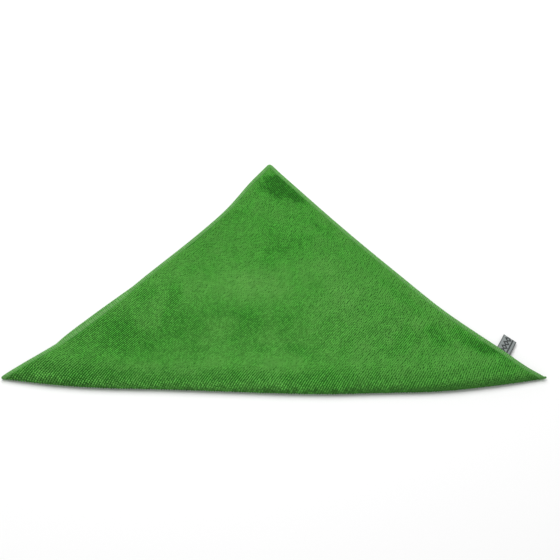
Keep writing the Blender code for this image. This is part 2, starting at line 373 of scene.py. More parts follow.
def read_row(rows, column, at):
    """A column of a table, read between its rows on one smooth curve."""
    keys = np.array([row[0] for row in rows])
    values = np.array([getattr(row, column) for row in rows], float)
    at = np.clip(at, keys[0], keys[-1])
    n = np.clip(np.searchsorted(keys, at, side="right") - 1, 0, len(rows) - 2)
    low = np.maximum(np.arange(len(rows)) - 1, 0)
    high = np.minimum(np.arange(len(rows)) + 1, len(rows) - 1)
    slope = (values[high] - values[low]) / (keys[high] - keys[low])
    span = keys[n + 1] - keys[n]
    t = (at - keys[n]) / span
    return (
        (2 * t**3 - 3 * t**2 + 1) * values[n]
        + (t**3 - 2 * t**2 + t) * span * slope[n]
        + (3 * t**2 - 2 * t**3) * values[n + 1]
        + (t**3 - t**2) * span * slope[n + 1]
    )


def round_corners(u, v):
    """Moves flat places so that the square's four corners are rounded."""
    corners = (
        (0.0, SIDE, CORNER_ROUNDING["left"]),
        (SIDE, 0.0, CORNER_ROUNDING["right"]),
        (SIDE, SIDE, CORNER_ROUNDING["upper"]),
        (0.0, 0.0, CORNER_ROUNDING["under"]),
    )
    for corner_u, corner_v, radius in corners:
        centre_u = radius if corner_u == 0 else SIDE - radius
        centre_v = radius if corner_v == 0 else SIDE - radius
        away_u = (centre_u - u) * (1 if corner_u == 0 else -1)
        away_v = (centre_v - v) * (1 if corner_v == 0 else -1)
        inside = (away_u > 0) & (away_v > 0)
        away = np.maximum(np.hypot(away_u, away_v), NEVER_ZERO)
        shrink = np.where(inside, np.maximum(away_u, away_v) / away, 1.0)
        u = np.where(inside, centre_u + (u - centre_u) * shrink, u)
        v = np.where(inside, centre_v + (v - centre_v) * shrink, v)
    return u, v


def draw_in(u, v):
    """Moves flat places inwards with the hems, which pull the four sides in between the corners."""
    pulls = (
        (SIDE - v, read_row(LEFT_SIDES, "upper_in", u / SIDE), (0, -1)),
        (SIDE - u, read_row(RIGHT_SIDES, "upper_in", v / SIDE), (-1, 0)),
        (u, read_row(LEFT_SIDES, "under_in", 1 - v / SIDE), (1, 0)),
        (v, read_row(RIGHT_SIDES, "under_in", 1 - u / SIDE), (0, 1)),
    )
    for from_cut, inward, way in pulls:
        share = smooth(1 - from_cut / SIDE_FADE) * inward
        u = u + share * way[0]
        v = v + share * way[1]
    return u, v


def to_fold(u, v):
    """(across, out) of flat places."""
    return (u - v) / math.sqrt(2), (u + v - SIDE) / math.sqrt(2)


def plumpness(from_cut):
    """The cloth's whole thickness this far in from the cut."""
    return HEM_THICK + (PILE_THICK - HEM_THICK) * smooth((from_cut - HEM_WIDTH) / HEM_STEP)


def away_from(mark, long, wide, across, out):
    """How far places are from a mark on the cloth, with 1 at its two reaches. The mark has a centre and is
    turned."""
    turned = math.radians(mark.turned)
    right, up = across - mark.across, out - mark.out
    lengthwise = right * math.cos(turned) + up * math.sin(turned)
    sideways = up * math.cos(turned) - right * math.sin(turned)
    return np.hypot(lengthwise / long, sideways / wide)


def upper_lift(across, out):
    """How far the upper layer stands above its resting height, from swells, troughs and the curl of its
    hems."""
    height = np.zeros_like(across)
    for swell in SWELLS:
        away = np.hypot(across - swell.across, out - swell.out) / swell.reach
        height += swell.height * smooth(1 - away)
    for trough in TROUGHS:
        height -= trough.depth * smooth(1 - away_from(trough, trough.long, trough.wide, across, out))
    u = (out + across) / math.sqrt(2) + SIDE / 2
    v = (out - across) / math.sqrt(2) + SIDE / 2
    for rows, from_cut, along in ((LEFT_SIDES, SIDE - v, u), (RIGHT_SIDES, SIDE - u, v)):
        from_cut = from_cut - read_row(rows, "upper_in", along / SIDE)
        height += read_row(rows, "lift", along / SIDE) * smooth(1 - from_cut / HEM_CURL)
    return height


def walk_fold():
    """The middle line of the fold's section, as distances along it, behind its start and up, and the angle
    turned."""
    steps = np.arange(round(FOLD_END / WALK_STEP))
    halfway = np.radians(read_row(FOLD_TURN, "turned", (steps + 0.5) * WALK_STEP))
    along = np.append(0.0, (steps + 1) * WALK_STEP)
    behind = np.append(0.0, -np.cumsum(np.cos(halfway)) * WALK_STEP)
    up = np.append(0.0, np.cumsum(np.sin(halfway)) * WALK_STEP)
    return along, behind, up, np.radians(read_row(FOLD_TURN, "turned", along))


FOLD_WALK = walk_fold()


def lay_down(across, behind, out):
    """The places on the table of points this far behind the line where the under layer leaves it."""
    reach = np.clip(out / HALF_DIAGONAL, 0.0, 1.0)
    across = across + APEX_LEAN * reach**2
    width = np.maximum(HALF_DIAGONAL - np.abs(across), PILE_THICK)
    forward = read_row(FOLD_LINE, "forward", across) * (1 - np.minimum(np.abs(out) / width, 1.0))
    angle = across / SWEEP_RADIUS
    radius = SWEEP_RADIUS - (behind * PULL - forward)
    return radius * np.sin(angle), SWEEP_RADIUS - radius * np.cos(angle)


def fold(across, out, depth):
    """Where points of the flat cloth lie once it is folded. depth is how far each is in from the outer
    side."""
    size = TIP_SHARE + (1 - TIP_SHARE) * smooth((HALF_DIAGONAL - np.abs(across)) / TIP_TAPER)
    along = out + FOLD_FRONT * size
    past = np.maximum(along - FOLD_END * size, 0.0)
    proud = PILE_THICK / 2 - depth
    walk, walk_behind, walk_up, walk_turned = FOLD_WALK
    at = np.clip(along / size, 0.0, FOLD_END)
    turned = np.interp(at, walk, walk_turned)
    behind = np.interp(at, walk, walk_behind) * size + np.maximum(-along, 0.0) + past - proud * np.sin(turned)
    up = PILE_THICK / 2 + np.interp(at, walk, walk_up) * size - proud * np.cos(turned)
    settling = (PILE_THICK + LAYER_GAP - walk_up[-1] * size) * smooth(past / FOLD_TAIL)
    up = up + settling + upper_lift(across, out) * smooth(past / SWELL_START)
    x, y = lay_down(across, behind, out)
    return np.stack((x, y, up), axis=-1)


def frame_shift():
    """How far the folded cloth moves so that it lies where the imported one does."""
    line = np.linspace(0.0, SIDE, SHIFT_LINES)
    u, v = np.meshgrid(line, line, indexing="ij")
    from_cut = distance_from_cut(u, v)
    plump = plumpness(from_cut)
    across, out = to_fold(*draw_in(*round_corners(u, v)))
    outer = outer_side(from_cut, out)
    places = fold(across, out, np.where(from_cut == 0, outer + plump / 2, outer)).reshape(-1, 3)
    low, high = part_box("cloth")
    middle = (np.array(low) + np.array(high)) / 2
    shift = middle - (places.min(axis=0) + places.max(axis=0)) / 2
    return np.array((shift[0], shift[1], 0.0))


def distance_from_cut(u, v):
    return np.minimum(np.minimum(u, SIDE - u), np.minimum(v, SIDE - v))


def outer_side(from_cut, out):
    """The depth of the cloth's outer side. The hem is thin: on the under layer it rests on the table, and
    on the upper layer it rests on the one below."""
    return (PILE_THICK - plumpness(from_cut)) * smooth(0.5 + out / (2 * FOLD_FRONT))


FRAME_SHIFT = frame_shift()


def lay(u, v, below):
    """Where flat places lie on the folded cloth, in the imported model's frame. below is the depth under its
    outer side, and nothing reaches below the table."""
    across, out = to_fold(*draw_in(*round_corners(u, v)))
    places = fold(across, out, outer_side(distance_from_cut(u, v), out) + below) + FRAME_SHIFT
    places[..., 2] = np.maximum(places[..., 2], 0.0)
    return places


# --- meshes and materials -------------------------------------------------------------------------


def make_piece(name, places, triangles, material, maps=None, facts=None):
    """A smooth mesh that rides with the cloth. maps are UV maps, a place for each corner of each triangle,
    and facts are numbers for each point that its material reads."""
    mesh = bpy.data.meshes.new(name)
    mesh.vertices.add(len(places))
    mesh.vertices.foreach_set("co", places.astype(np.float32).ravel())
    mesh.loops.add(triangles.size)
    mesh.loops.foreach_set("vertex_index", triangles.astype(np.int32).ravel())
    mesh.polygons.add(len(triangles))
    mesh.polygons.foreach_set("loop_start", np.arange(0, triangles.size, 3, dtype=np.int32))
    for map_name, corners in (maps or {}).items():
        mesh.uv_layers.new(name=map_name).uv.foreach_set("vector", corners.astype(np.float32).ravel())
    for fact, values in (facts or {}).items():
        numbers = mesh.attributes.new(fact, "FLOAT", "POINT").data
        numbers.foreach_set("value", values.astype(np.float32).ravel())
    mesh.shade_smooth()
    mesh.update(calc_edges=True)
    if mesh.validate():
        raise RuntimeError(f"the mesh of {name} has faulty faces")
    mesh.materials.append(material)
    piece = bpy.data.objects.new(name, mesh)
    bpy.context.scene.collection.objects.link(piece)
    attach(piece, "root")
    return piece


def copies(triangles, points, count):
    """The triangles of one lock or thread, repeated for each of them."""
    return (triangles[None] + (np.arange(count) * points)[:, None, None]).reshape(-1, 3)


def spindle(rings, sides, rooted):
    """The triangles of a lock or thread: rings of points that end in a tip, and in a root too where it is
    closed."""
    triangles = []
    for ring in range(rings - 1):
        for k in range(sides):
            a = ring * sides + k
            b = ring * sides + (k + 1) % sides
            triangles += [(a, b, b + sides), (a, b + sides, a + sides)]
    tip = rings * sides
    last = tip - sides
    triangles += [(last + k, last + (k + 1) % sides, tip) for k in range(sides)]
    if rooted:
        triangles += [((k + 1) % sides, k, tip + 1) for k in range(sides)]
    return np.array(triangles)


def cell_corners(grid):
    """The four corners of a grid's cells, in order round each cell."""
    return grid[:-1, :-1], grid[1:, :-1], grid[1:, 1:], grid[:-1, 1:]


def soft_noise(u, v, cell, seed):
    """Smooth random numbers from -1 to 1 on the flat cloth, whose hills are about a cell wide."""
    count = math.ceil(3 * SIDE / cell) + 3
    lattice = np.random.default_rng(seed).uniform(-1.0, 1.0, (count, count))
    x, y = (u + SIDE) / cell, (v + SIDE) / cell
    i, j = np.floor(x).astype(int), np.floor(y).astype(int)
    s, t = smooth(x - i), smooth(y - j)
    low = (1 - s) * lattice[i, j] + s * lattice[i + 1, j]
    high = (1 - s) * lattice[i, j + 1] + s * lattice[i + 1, j + 1]
    return (1 - t) * low + t * high


def nap(u, v, seed):
    """How the pile lies on the flat cloth, from -1 where its ribs stand open to 1 where it lies over them."""
    across, out = to_fold(u, v)
    drawn_across = across + PATCH_BLUR * soft_noise(u, v, PATCH_CELL, seed + 1)
    drawn_out = out + PATCH_BLUR * soft_noise(u, v, PATCH_CELL, seed + 2)
    lie = np.zeros_like(u)
    for patch in PATCHES:
        away = away_from(patch, patch.long, patch.wide, drawn_across, drawn_out)
        lie += patch.shade * smooth(PATCH_EDGE - away)
    for n, row in enumerate(NAP_NOISE):
        lie += row.share * soft_noise(u, v, row.cell, seed + 3 + n)
    return np.clip(lie, -1.0, 1.0)


MIX_FACTOR, MIX_A, MIX_B = 0, 6, 7  # the sockets of Blender's Mix node for its factor and its two colours
MIX_COLOURS = {"output": 2, "data_type": "RGBA"}  # and its result, where it mixes colours
FIBRE_BUNDLE = 0.0006  # single filaments are finer than 0.01 mm, so they are drawn in bundles as wide as this
KNIT_STITCH = 0.0008  # the width of one stitch of the ground
THREAD_BUNDLE = 0.0005  # the thread's filaments are drawn coarser in the same way


def new_material(name):
    """A material with nothing but its Principled shader and its output."""
    material = bpy.data.materials.new(name)
    material.use_nodes = True
    return material


def set_inputs(material, node, inputs):
    """Gives each socket a value, or links the output that is given for it."""
    for socket, value in inputs.items():
        if isinstance(value, bpy.types.NodeSocket):
            material.node_tree.links.new(value, node.inputs[socket])
        else:
            node.inputs[socket].default_value = value


def add_node(material, kind, inputs, output=0, **settings):
    """Adds a node with its settings and inputs, and returns one of its outputs."""
    node = material.node_tree.nodes.new("ShaderNode" + kind)
    for setting, value in settings.items():
        setattr(node, setting, value)
    set_inputs(material, node, inputs)
    return node.outputs[output]


def set_shader(material, inputs):
    set_inputs(material, material.node_tree.nodes["Principled BSDF"], inputs)


def opaque(colour):
    return (*colour, 1.0)


def looped_polyester_pile(settings):
    """Split polyester and polyamide filament, knitted in loops and brushed: matt and soft, with a faint bloom
    where it is seen along its surface. Its colour is painted darker between the locks, as shade, lighter at
    their ends, and lighter here and darker there by how its nap lies, as painted light and shade."""
    material = new_material("looped polyester pile")
    lie, end, tone = (
        add_node(material, "Attribute", {}, "Fac", attribute_name=fact) for fact in ("nap", "end", "tone")
    )
    place = add_node(material, "TexCoord", {}, "Object")
    noise = {"Vector": place, "Scale": 1 / FIBRE_BUNDLE, "Detail": 3.0, "Roughness": 0.65}
    fibres = add_node(material, "TexNoise", noise)
    dark, light, root = opaque(settings.shaded_pile), opaque(settings.lit_pile), opaque(settings.root)
    # painted light and shade: the nap mixes the shaded pile with the lit one
    nap_lit_and_shaded = add_node(material, "Mix", {MIX_FACTOR: lie, MIX_A: dark, MIX_B: light}, **MIX_COLOURS)
    # painted shade: darker towards each lock's root
    root_shaded = add_node(material, "Mix", {MIX_FACTOR: end, MIX_A: root, MIX_B: nap_lit_and_shaded}, **MIX_COLOURS)
    # the tone: random from lock to lock, with painted light and shade
    shade = add_node(material, "MapRange", {"Value": tone, "To Min": 0.5, "To Max": 1.5})
    toned = {MIX_FACTOR: 1.0, MIX_A: root_shaded, MIX_B: shade}
    finish = {
        "Base Color": add_node(material, "Mix", toned, blend_type="MULTIPLY", **MIX_COLOURS),
        "Roughness": add_node(material, "MapRange", {"Value": fibres, "To Min": 0.80, "To Max": 1.0}),
        "Normal": add_node(material, "Bump", {"Height": fibres, "Strength": 0.5, "Distance": 0.0002}),
        "Specular IOR Level": 0.2,
        "Sheen Weight": 0.07,
        "Sheen Roughness": 0.5,
        "Sheen Tint": light,
    }
    set_shader(material, finish)
    return material


def knitted_polyester_ground(settings):
    """Warp-knitted polyester, the cloth's base: matt, with a fine uneven knit, and painted dark with the
    roots' colour as the shade of the pile. Under the hem, where its threads lie close on it and no pile
    shades it, it takes the shaded pile's colour."""
    material = new_material("knitted polyester ground")
    place = add_node(material, "TexCoord", {}, "Object")
    knit = add_node(material, "TexNoise", {"Vector": place, "Scale": 1 / KNIT_STITCH, "Detail": 2.0})
    shade = add_node(material, "MapRange", {"Value": knit, "To Min": 0.0, "To Max": 0.35})
    under_hem = add_node(material, "Attribute", {}, "Fac", attribute_name="hem")
    dark, root = opaque(settings.shaded_pile), opaque(settings.root)
    # painted shade: the roots' dark colour, lightened a little by the knit
    colour = add_node(material, "Mix", {MIX_FACTOR: shade, MIX_A: root, MIX_B: dark}, **MIX_COLOURS)
    finish = {
        "Base Color": add_node(
            material, "Mix", {MIX_FACTOR: under_hem, MIX_A: colour, MIX_B: dark}, **MIX_COLOURS
        ),
        "Roughness": 0.95,
        "Normal": add_node(material, "Bump", {"Height": knit, "Strength": 0.8, "Distance": 0.0004}),
        "Specular IOR Level": 0.2,
        "Sheen Weight": 0.08,
        "Sheen Roughness": 0.5,
    }
    set_shader(material, finish)
    return material


def textured_polyester_thread(settings):
    """Bulked overlock thread: smoother than the pile and slightly lustrous, so the hem is a light line."""
    material = new_material("textured polyester thread")
    tone = add_node(material, "Attribute", {}, "Fac", attribute_name="tone")
    place = add_node(material, "TexCoord", {}, "Object")
    noise = {"Vector": place, "Scale": 1 / THREAD_BUNDLE, "Detail": 2.0, "Roughness": 0.6}
    filaments = add_node(material, "TexNoise", noise)
    shade = add_node(material, "MapRange", {"Value": tone, "To Min": 0.80, "To Max": 1.06})
    toned = {MIX_FACTOR: 1.0, MIX_A: opaque(settings.hem_thread), MIX_B: shade}
    finish = {
        "Base Color": add_node(material, "Mix", toned, blend_type="MULTIPLY", **MIX_COLOURS),
        "Roughness": add_node(material, "MapRange", {"Value": filaments, "To Min": 0.55, "To Max": 0.80}),
        "Normal": add_node(material, "Bump", {"Height": filaments, "Strength": 0.5, "Distance": 0.00015}),
        "Specular IOR Level": 0.28,
        "Sheen Weight": 0.08,
        "Sheen Roughness": 0.4,
    }
    set_shader(material, finish)
    return material


# --- the pieces -----------------------------------------------------------------------------------


def stretch_round_fold(u, v):
    """Moves evenly spaced flat places apart near the fold line, as the outside of the bend is stretched."""
    across, out = to_fold(u, v)
    even = np.linspace(-SIDE, SIDE, STRETCH_STEPS)
    share = smooth((STRETCH_END - np.abs(even)) / (STRETCH_END - STRETCH_FULL))
    gained = np.cumsum(share) * (even[1] - even[0])
    gained = np.interp(out, even, gained - gained[len(even) // 2])
    out = out + (read_row(RIBS_ALONG_FOLD, "stretch", across) - 1) * gained
    return (out + across) / math.sqrt(2) + SIDE / 2, (out - across) / math.sqrt(2) + SIDE / 2


def on_rib(head, along):
    """The flat place on a rib that starts at this height of the left side, at a distance along it."""
    turned = np.maximum(along - TURN_FROM, 0.0)
    return stretch_round_fold(along, head + RIB_SLOPE * along + TURN_GROWTH * turned**3)


def lock_places(rib, lock, seed):
    """The flat places of the locks of pile in rows along the ribs, and the rib's direction at each. Each
    rib's row starts at random, so that the locks don't line up from rib to rib."""
    heads = np.arange(RIBS_FROM, SIDE, rib)
    steps = np.arange(-lock, SIDE, lock)
    starts = np.random.default_rng(seed).uniform(0.0, lock, len(heads))
    step = (steps[None] + starts[:, None]).ravel()
    head = np.repeat(heads, len(steps))
    places = np.stack(on_rib(head, step))
    ways = np.stack(on_rib(head, step + lock / 2)) - np.stack(on_rib(head, step - lock / 2))
    ways /= np.linalg.norm(ways, axis=0)
    inside = distance_from_cut(*places) > HEM_WIDTH + PILE_MARGIN
    return places[:, inside], ways[:, inside]


# The rings of a lock of pile, from its root up: its depth, its girth, how far it follows the lock's lean,
# and how light it is on bare ribs, with what it gains where the pile covers them and where they stand open.
# That lightness is painted shade: at 0 a ring takes the roots' dark colour, for the shade between the locks
LOCK_RINGS = table(
    "depth girth leans bare covered opened",
    (GROUND_DEPTH + 0.0003, 0.85, 0.00, 0.00, 0.65, 0.55),
    (0.00045, 1.00, 0.45, 0.55, 0.43, 0.10),
)
# Its width in ribs and its length in lock spacings, in the same way, and how much both vary from lock to lock
LOCK_WIDTH, LOCK_LENGTH = table(
    "bare covered opened least most",
    (0.30, 0.28, 0.35, 0.93, 1.07),
    (0.70, 0.14, 0.12, 0.85, 1.15),
)
# How far a lock strays, in lock spacings along its rib, and in ribs to the side where the pile covers it
STRAY_ALONG = (-0.16, 0.16)
STRAY_ASIDE = (-0.20, 0.20)
# Which way a lock leans, in radians, changes in hills as wide as the cell and from lock to lock
LEAN_CELL = 0.030
LEAN_TURN = 0.9
LEAN_STRAY = (-0.7, 0.7)
# How far it leans, what the nap adds, and how much that varies
LEAN = 0.0004
LEAN_BY_NAP = 0.0004
LEAN_MORE = (0.0, 0.0003)
# How far its end stands out of the cloth's outer side, as it lies and where it is pressed flat
PROUD = (-0.00005, 0.00030)
PROUD_BY_NAP = 0.00008
PROUD_PRESSED = (-0.0003, 0.0)
# How far a lock's two rings lie from the middle of its cell in the baking map, in cells
BAKE_RINGS = (0.47, 0.30)

# How far above the fold the ribs stand open changes by this share, in hills as wide as the cell. The higher
# the edge is, the more sharply the open ribs end
OPEN_CELL = 0.020
OPEN_VARIES = 0.35
OPEN_EDGE = 1.6
OPEN_BY_NAP = 0.15
# the pile's colour is pushed this way too where the ribs stand open, as painted light on their ridges
NAP_OPENED = 0.4  # how the pile lies where the ribs stand fully open
NAP_KEPT = 0.5  # and how much of its own lie it keeps there
# How far the pile covers the ribs where the nap is even, what the nap adds, and what open ribs take away
COVER_EVEN = 0.60
COVER_BY_NAP = 0.7
COVER_BY_OPEN = 0.8

# What makes one lock lighter than another, at random and by painted light and shade. A tone of 0.5 is the
# pile's own colour
EVEN_TONE = 0.50
# painted light and shade: narrow locks are lighter, as light on the sides of open ribs, and wide ones darker
NARROW_TONE = 0.20  # narrow locks are toned up and wide ones down, so that bare ribs leave the cloth as light
LOCK_TONE = (-0.43, 0.43)  # from lock to lock, and less so by the two shares below
COVERED_EVENS = 0.80
OPEN_EVENS = 0.35
TONE_CELL = 0.0045  # in small spots as wide as this, more so where the ribs stand open
SPOT_TONE = 0.07
OPEN_SPOT_TONE = 0.14
# painted light: open locks, and pile that lies over the ribs, are lighter again
OPEN_TONE = 0.06
STROKED_TONE = 0.08
DEEP_NAP = -0.55  # painted shade: the pile is darker, as in its own shade, where it lies below this
DEEP_PAINTED_SHADE = 0.8
# painted shade at the fold's front and towards the apex, and darker towards the right-hand corner
FRONT_PAINTED_SHADE = 0.50
UPPER_PAINTED_SHADE = 0.05
RIGHT_DARKENING = 0.05


def how_pile_lies(u, v, seed, pressed):
    """How the pile lies at flat places, from -1 to 1, and from 0 to 1 how far the fold has opened its ribs
    and how far it covers them. The cloth bends outwards round the fold, which opens the ribs, here more and
    there less."""
    lie = nap(u, v, seed)
    across, out = to_fold(u, v)
    opens = read_row(RIBS_ALONG_FOLD, "opens", across)
    opens = opens * (1 + OPEN_VARIES * soft_noise(across, out, OPEN_CELL, seed))
    opened = smooth(OPEN_EDGE * (1 - out / opens)) * read_row(RIBS_ALONG_FOLD, "fully", across)
    opened = opened * (1 - OPEN_BY_NAP + OPEN_BY_NAP * lie)
    if pressed:
        opened = np.zeros(len(u))
    covering = COVER_EVEN + COVER_BY_NAP * lie - COVER_BY_OPEN * opened
    covering += read_row(RIBS_ALONG_FOLD, "covers", across)
    covering += read_row(COVERS_UP_THE_CLOTH, "covers", out)
    lie = lie * (1 - (1 - NAP_KEPT) * opened) + NAP_OPENED * opened
    return lie, opened, np.clip(covering, 0.0, 1.0)


def by_cover(row, covering, opened):
    """A lock's measure, from its row's values for bare ribs, for pile that covers them and for open ones."""
    return row.bare + row.covered * covering + row.opened * opened


def shade_by_place(across, out):
    """How much darker the pile is painted by its place: shade where the cloth turns away from the light at
    the fold's front, and where it lies further from it towards the apex, and darker towards the right-hand
    corner.
    """
    front = smooth(1 - np.maximum(out, UNDER_FROM - out) / FRONT_SHADE)
    upper = smooth((out - UPPER_SHADE_FROM) / UPPER_SHADE_REACH)
    return FRONT_PAINTED_SHADE * front + UPPER_PAINTED_SHADE * upper + RIGHT_DARKENING * smooth(across / RIGHT_DARKENING_REACH)


def lock_tones(u, v, facts, varied, seed):
    """How light each lock is: at random, with painted light on narrow and open locks and where the pile lies
    over the ribs, and painted shade where it lies deepest. facts are how its pile lies, how far it stands
    open and how far it covers.
    """
    lie, opened, covering = facts
    spread = (1 - COVERED_EVENS * covering) * (1 - OPEN_EVENS * opened)
    tone = EVEN_TONE + NARROW_TONE * (1 - 2 * covering) + varied * spread
    tone += (SPOT_TONE + OPEN_SPOT_TONE * opened) * soft_noise(u, v, TONE_CELL, seed) + OPEN_TONE * opened
    return tone + STROKED_TONE * np.maximum(lie, 0.0) - DEEP_PAINTED_SHADE * np.maximum(DEEP_NAP - lie, 0.0)


def bake_map(row_u, row_v, lock, rib, turn):
    """Where each point of each lock is in the baking map: in its lock's own cell of the flat cloth."""
    cell_u, cell_v = (np.append(np.outer(BAKE_RINGS, wave), 0.0) for wave in (np.cos(turn), np.sin(turn)))
    flat = np.stack(to_fold(row_u[:, None] + lock * cell_u, row_v[:, None] + rib * cell_v), axis=-1)
    flat = flat.reshape(-1, 2)
    return (flat - flat.min(axis=0)) / (flat.max(axis=0) - flat.min(axis=0))


def make_locks(name, places, ways, lock, settings, seed, pressed):
    """One mesh of pile. Each lock is a short bundle of loops: a ring at its root, a wider one at its belly,
    and its end. pressed locks are flattened between the cloth and the table."""
    draw = np.random.default_rng(seed)
    row_u, row_v = places
    way_u, way_v = ways[:, :, None]
    count = len(row_u)
    rib = settings.rib
    u = row_u + draw.uniform(*STRAY_ALONG, count) * lock
    lie, opened, covering = how_pile_lies(u, row_v, settings.seed, pressed)
    v = row_v + draw.uniform(*STRAY_ASIDE, count) * rib * covering**2
    wide = rib * by_cover(LOCK_WIDTH, covering, opened)
    wide = wide * draw.uniform(LOCK_WIDTH.least, LOCK_WIDTH.most, count)
    long = lock * by_cover(LOCK_LENGTH, covering, opened)
    long = long * draw.uniform(LOCK_LENGTH.least, LOCK_LENGTH.most, count)
    heading = LEAN_TURN * soft_noise(u, v, LEAN_CELL, seed + 1) + draw.uniform(*LEAN_STRAY, count)
    reach = LEAN + LEAN_BY_NAP * np.abs(lie) + draw.uniform(*LEAN_MORE, count)
    lean_u, lean_v = reach * np.cos(heading), reach * np.sin(heading) * covering
    proud = draw.uniform(*PROUD, count) + PROUD_BY_NAP * lie
    if pressed:
        proud = draw.uniform(*PROUD_PRESSED, count)
    turn = 2 * math.pi * (np.arange(LOCK_SIDES) + 0.5) / LOCK_SIDES
    all_u, all_v, below, end = [], [], [], []
    for ring in LOCK_RINGS:
        along = long[:, None] * ring.girth * np.cos(turn)
        aside = wide[:, None] * ring.girth * np.sin(turn)
        all_u.append(u[:, None] + along * way_u - aside * way_v + ring.leans * lean_u[:, None])
        all_v.append(v[:, None] + along * way_v + aside * way_u + ring.leans * lean_v[:, None])
        below.append(np.full((count, LOCK_SIDES), ring.depth) - ring.leans * proud[:, None])
        # painted shade: how much of the pile's colour each ring takes against the roots' dark one
        end.append(np.repeat(by_cover(ring, covering, opened)[:, None], LOCK_SIDES, axis=1))
    all_u.append((u + lean_u)[:, None])
    all_v.append((v + lean_v)[:, None])
    below.append(-proud[:, None])
    end.append(np.ones((count, 1)))
    all_u, all_v, below, end = (np.concatenate(part, axis=1) for part in (all_u, all_v, below, end))
    points = all_u.shape[1]
    triangles = copies(spindle(len(LOCK_RINGS), LOCK_SIDES, False), points, count)
    places = lay(all_u.ravel(), all_v.ravel(), below.ravel())
    tone = lock_tones(u, v, (lie, opened, covering), draw.uniform(*LOCK_TONE, count), seed + 2)
    tone -= shade_by_place(*to_fold(u, row_v))
    facts = {"nap": np.repeat(0.5 + 0.5 * lie, points), "end": end, "tone": np.repeat(tone, points)}
    maps = {"OFBake": bake_map(row_u, row_v, lock, rib, turn)[triangles.ravel()]}
    material = bpy.data.materials.get("looped polyester pile") or looped_polyester_pile(settings)
    return make_piece(name, places, triangles, material, maps, facts)


def make_ground(settings):
    """The knitted ground as one closed sheet, with a rounded edge inside the hem."""
    edge = [HEM_SKIN + at for at in RIM_ROWS]
    edge += [HEM_WIDTH, HEM_WIDTH + GROUND_STEP, HEM_WIDTH + HEM_STEP]
    inner = np.linspace(edge[-1], SIDE - edge[-1], GROUND_CELLS)[1:-1]
    rows = np.array([*edge, *inner, *(SIDE - at for at in reversed(edge))])
    u, v = np.meshgrid(rows, rows, indexing="ij")
    from_cut = distance_from_cut(u, v)
    in_pile = smooth((from_cut - HEM_WIDTH) / GROUND_STEP)
    round_in = np.clip((from_cut - HEM_SKIN) / RIM_ROWS[-1], 0.0, 1.0)
    fullness = np.sqrt(1 - (1 - round_in) ** 2)
    middle = plumpness(from_cut) / 2
    outer = HEM_SKIN + (GROUND_DEPTH - HEM_SKIN) * in_pile
    back = plumpness(from_cut) - (HEM_SKIN + (GROUND_BACK - HEM_SKIN) * in_pile)
    outer = middle - (middle - outer) * fullness
    back = middle + (back - middle) * fullness
    count = len(rows)
    index = np.arange(count * count).reshape(count, count)
    rim = np.zeros_like(index, bool)
    rim[[0, -1], :] = True
    rim[:, [0, -1]] = True
    back_index = index.copy()
    back_index[~rim] = count * count + np.arange((~rim).sum())
    places = np.concatenate(
        [lay(u.ravel(), v.ravel(), outer.ravel()), lay(u[~rim], v[~rim], back[~rim])]
    )

    def sides_of(grid, turned):
        """The grid's cells as triangles, split along the fold, but for the two corners that it misses."""
        a, b, c, d = cell_corners(grid)
        cells = np.stack((a, b, d, b, c, d), axis=-1)
        for corner in (0, -1):
            cells[corner, corner] = np.stack((a, b, c, a, c, d), axis=-1)[corner, corner]
        triangles = cells.reshape(-1, 3)
        return triangles[:, ::-1] if turned else triangles

    outer_triangles, back_triangles = sides_of(index, False), sides_of(back_index, True)
    flat = np.stack((u, v), axis=-1).reshape(-1, 2) / SIDE
    outer_map = flat[outer_triangles.ravel()] * BAKE_HALF
    back_map = flat[sides_of(index, True).ravel()] * BAKE_HALF + BAKE_BACK
    triangles = np.concatenate([outer_triangles, back_triangles])
    maps = {"OFBake": np.concatenate([outer_map, back_map])}
    facts = {"hem": 1 - np.concatenate([in_pile.ravel(), in_pile[~rim]])}
    material = knitted_polyester_ground(settings)
    return make_piece("knitted_ground", places, triangles, material, maps, facts)


# The overlock threads wrap the cut edge, round the four sides in turn: corner, way along it and way in
EDGES = (
    ((0.0, 0.0), (1, 0), (0, 1)),
    ((SIDE, 0.0), (0, 1), (-1, 0)),
    ((SIDE, SIDE), (-1, 0), (0, -1)),
    ((0.0, SIDE), (0, -1), (1, 0)),
)
CORNER_FAN = 0.009  # stitches fan out over this much of a side at its corners
DARKER_SIDE = 1  # the upper right side, whose threads are darker towards the right-hand corner
DARKENING_LENGTH = 0.16
THREAD_THICK = 0.00042
THREAD_WIDE = 0.00176
THREAD_SIDES = 6
THREAD_RISE = 0.0006  # the ends of a stitch dip into the cloth, this far in and down from its last ring
SEAM_DIP = 0.00015  # its last ring lies this much deeper and is this share of its width
SEAM_NARROW = 0.75
ARC_STEPS = 5
NEEDLE_IN = HEM_WIDTH - 0.0005  # the needle's row of thread, from the cut
NEEDLE_LONG = 0.0018
NEEDLE_WIDE = 0.0005
NEEDLE_SIDES = 5
NEEDLE_RINGS = (-0.30, 0.30)  # where its rings are, as shares of its length
TWO_ENDS = np.array((0.5, -0.5))  # where a thread's ends are, as shares of its length

# Each stitch varies between bounds: its place along the side and its slant in stitches, its girth, how much
# further in it reaches at the needle, and its tone
STITCH_AT = (-0.10, 0.10)
STITCH_SLANT = 0.75
STITCH_SLANTS = (-0.15, 0.15)
STITCH_GIRTHS = (0.88, 1.10)
STITCH_REACHES = (-0.00025, 0.00020)
STITCH_TONES = (0.3, 1.0)
DARKEST = 0.2
NEEDLE_SIDE = 0.9 * HEM_WIDTH  # a stitch's rings further in than this are at the needle
# And so does each stitch of the needle's row: its place, its length and its tone
NEEDLE_AT = (-0.05, 0.05)
NEEDLE_LENGTHS = (0.92, 1.04)
NEEDLE_TONES = (0.2, 1.0)


